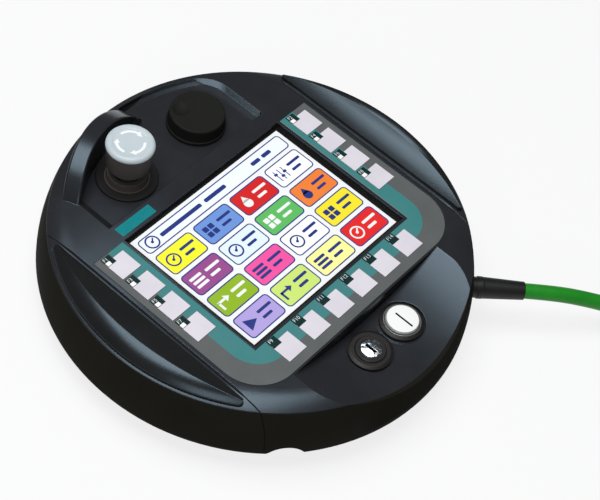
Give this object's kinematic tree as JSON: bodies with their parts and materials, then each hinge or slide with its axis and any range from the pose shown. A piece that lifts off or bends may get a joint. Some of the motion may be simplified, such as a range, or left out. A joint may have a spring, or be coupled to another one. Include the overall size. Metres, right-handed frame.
{
  "type": "mobile hmi panel",
  "caption": "Round handheld operator panel with a sunk touch display, membrane function keys, stop button, handwheel, key switch, lit pushbutton, side grips and a coiled connecting cable.",
  "frame": {"origin": "middle of the flat rear face that the panel lies on", "axes": "+Z out of the front face, +Y towards the stop button, +X to the right of the display"},
  "size_m": [0.4039, 0.3658, 0.0745],
  "materials": {
    "housing_black": "fine moulded texture, satin",
    "pad_black": "soft touch, matt",
    "wheel_black": "satin",
    "seal_rubber": "matt",
    "film_print": "printed film in two colours, satin",
    "key_pale": "pale insert under film",
    "screen_glass": "clear, gloss",
    "module_dark": "satin",
    "board_green": "solder mask",
    "stop_pale": "satin",
    "stop_dark": "satin",
    "steel": "turned",
    "bush_brass": "turned",
    "lock_metal": "polished",
    "lens_white": "translucent white",
    "cable_green": "smooth sheath",
    "boot_black": "matt",
    "connector_metal": "satin plated"
  },
  "bodies": {
    "housing": {"front_shell": "housing_black", "rear_shell": "housing_black", "left_grip": "housing_black", "right_grip": "housing_black", "terminal_cover": "housing_black", "stop_collar": "housing_black", "lock_bezel": "housing_black", "button_bezel": "housing_black", "lock_barrel": "housing_black", "left_grip_pad": "pad_black", "right_grip_pad": "pad_black", "shell_seal": "seal_rubber", "display_gasket": "seal_rubber", "membrane_keypad": "film_print", "touch_glass": "screen_glass", "lcd_module": "module_dark", "stop_block": "module_dark", "handwheel_encoder": "module_dark", "lamp_block": "module_dark", "left_enabling_switch": "module_dark", "right_enabling_switch": "module_dark", "keypad_board": "board_green", "main_board": "board_green", "terminal_board": "board_green", "housing_screws": "steel", "cover_screws": "steel", "board_screws": "steel", "panel_nuts": "steel", "handwheel_bush": "bush_brass", "button_ring": "lock_metal", "cable": "cable_green", "cable_coil": "cable_green", "cable_tail": "cable_green", "strain_relief": "boot_black", "cable_tie": "boot_black", "connector_shell": "connector_metal", "coupling_ring": "connector_metal"},
    "stop_press": {"stop_stem": "steel"},
    "stop_head": {"stop_skirt": "stop_dark", "stop_cap": "stop_pale"},
    "wheel": {"handwheel": "wheel_black", "handwheel_shaft": "steel"},
    "lock": {"lock_plug": "lock_metal"},
    "lit_button": {"button_lens": "lens_white"},
    "left_bar": {"left_enabling_bar": "pad_black"},
    "right_bar": {"right_enabling_bar": "pad_black"},
    "key_01": {"fn_key_01": "key_pale"},
    "key_02": {"fn_key_02": "key_pale"},
    "key_03": {"fn_key_03": "key_pale"},
    "key_04": {"fn_key_04": "key_pale"},
    "key_05": {"fn_key_05": "key_pale"},
    "key_06": {"fn_key_06": "key_pale"},
    "key_07": {"fn_key_07": "key_pale"},
    "key_08": {"fn_key_08": "key_pale"},
    "key_09": {"fn_key_09": "key_pale"},
    "key_10": {"fn_key_10": "key_pale"},
    "key_11": {"fn_key_11": "key_pale"},
    "key_12": {"fn_key_12": "key_pale"},
    "key_13": {"fn_key_13": "key_pale"},
    "key_14": {"fn_key_14": "key_pale"}
  },
  "joints": [
    {"name": "stop_press", "type": "slide", "parent": "housing", "child": "stop_press", "axis": [0, 0, 1], "range_m": [-0.0058, 0]},
    {"name": "stop_twist", "type": "hinge", "parent": "stop_press", "child": "stop_head", "pos_m": [-0.027, 0.0776, 0.065], "axis": [0, 0, 1], "range_deg": [-40, 0], "stiffness_Nm_per_rad": 0.04},
    {"name": "wheel_turn", "type": "hinge", "parent": "housing", "child": "wheel", "pos_m": [0.031, 0.0792, 0.045], "axis": [0, 0, 1], "continuous": true},
    {"name": "lock_turn", "type": "hinge", "parent": "housing", "child": "lock", "pos_m": [-0.0136, -0.0897, 0.035], "axis": [0, 0, 1], "range_deg": [-45, 45]},
    {"name": "lit_button_press", "type": "slide", "parent": "housing", "child": "lit_button", "axis": [0, 0, 1], "range_m": [-0.0025, 0], "stiffness_N_per_m": 900, "springref_m": 0.0012},
    {"name": "left_bar_press", "type": "slide", "parent": "housing", "child": "left_bar", "axis": [0, 0, 1], "range_m": [0, 0.003], "stiffness_N_per_m": 1800, "springref_m": -0.0015},
    {"name": "right_bar_press", "type": "slide", "parent": "housing", "child": "right_bar", "axis": [0, 0, 1], "range_m": [0, 0.003], "stiffness_N_per_m": 1800, "springref_m": -0.0015},
    {"name": "key_01_press", "type": "slide", "parent": "housing", "child": "key_01", "axis": [0, 0, 1], "range_m": [-0.0004, 0], "stiffness_N_per_m": 2500, "springref_m": 0.0003},
    {"name": "key_02_press", "type": "slide", "parent": "housing", "child": "key_02", "axis": [0, 0, 1], "range_m": [-0.0004, 0], "stiffness_N_per_m": 2500, "springref_m": 0.0003},
    {"name": "key_03_press", "type": "slide", "parent": "housing", "child": "key_03", "axis": [0, 0, 1], "range_m": [-0.0004, 0], "stiffness_N_per_m": 2500, "springref_m": 0.0003},
    {"name": "key_04_press", "type": "slide", "parent": "housing", "child": "key_04", "axis": [0, 0, 1], "range_m": [-0.0004, 0], "stiffness_N_per_m": 2500, "springref_m": 0.0003},
    {"name": "key_05_press", "type": "slide", "parent": "housing", "child": "key_05", "axis": [0, 0, 1], "range_m": [-0.0004, 0], "stiffness_N_per_m": 2500, "springref_m": 0.0003},
    {"name": "key_06_press", "type": "slide", "parent": "housing", "child": "key_06", "axis": [0, 0, 1], "range_m": [-0.0004, 0], "stiffness_N_per_m": 2500, "springref_m": 0.0003},
    {"name": "key_07_press", "type": "slide", "parent": "housing", "child": "key_07", "axis": [0, 0, 1], "range_m": [-0.0004, 0], "stiffness_N_per_m": 2500, "springref_m": 0.0003},
    {"name": "key_08_press", "type": "slide", "parent": "housing", "child": "key_08", "axis": [0, 0, 1], "range_m": [-0.0004, 0], "stiffness_N_per_m": 2500, "springref_m": 0.0003},
    {"name": "key_09_press", "type": "slide", "parent": "housing", "child": "key_09", "axis": [0, 0, 1], "range_m": [-0.0004, 0], "stiffness_N_per_m": 2500, "springref_m": 0.0003},
    {"name": "key_10_press", "type": "slide", "parent": "housing", "child": "key_10", "axis": [0, 0, 1], "range_m": [-0.0004, 0], "stiffness_N_per_m": 2500, "springref_m": 0.0003},
    {"name": "key_11_press", "type": "slide", "parent": "housing", "child": "key_11", "axis": [0, 0, 1], "range_m": [-0.0004, 0], "stiffness_N_per_m": 2500, "springref_m": 0.0003},
    {"name": "key_12_press", "type": "slide", "parent": "housing", "child": "key_12", "axis": [0, 0, 1], "range_m": [-0.0004, 0], "stiffness_N_per_m": 2500, "springref_m": 0.0003},
    {"name": "key_13_press", "type": "slide", "parent": "housing", "child": "key_13", "axis": [0, 0, 1], "range_m": [-0.0004, 0], "stiffness_N_per_m": 2500, "springref_m": 0.0003},
    {"name": "key_14_press", "type": "slide", "parent": "housing", "child": "key_14", "axis": [0, 0, 1], "range_m": [-0.0004, 0], "stiffness_N_per_m": 2500, "springref_m": 0.0003}
  ]
}
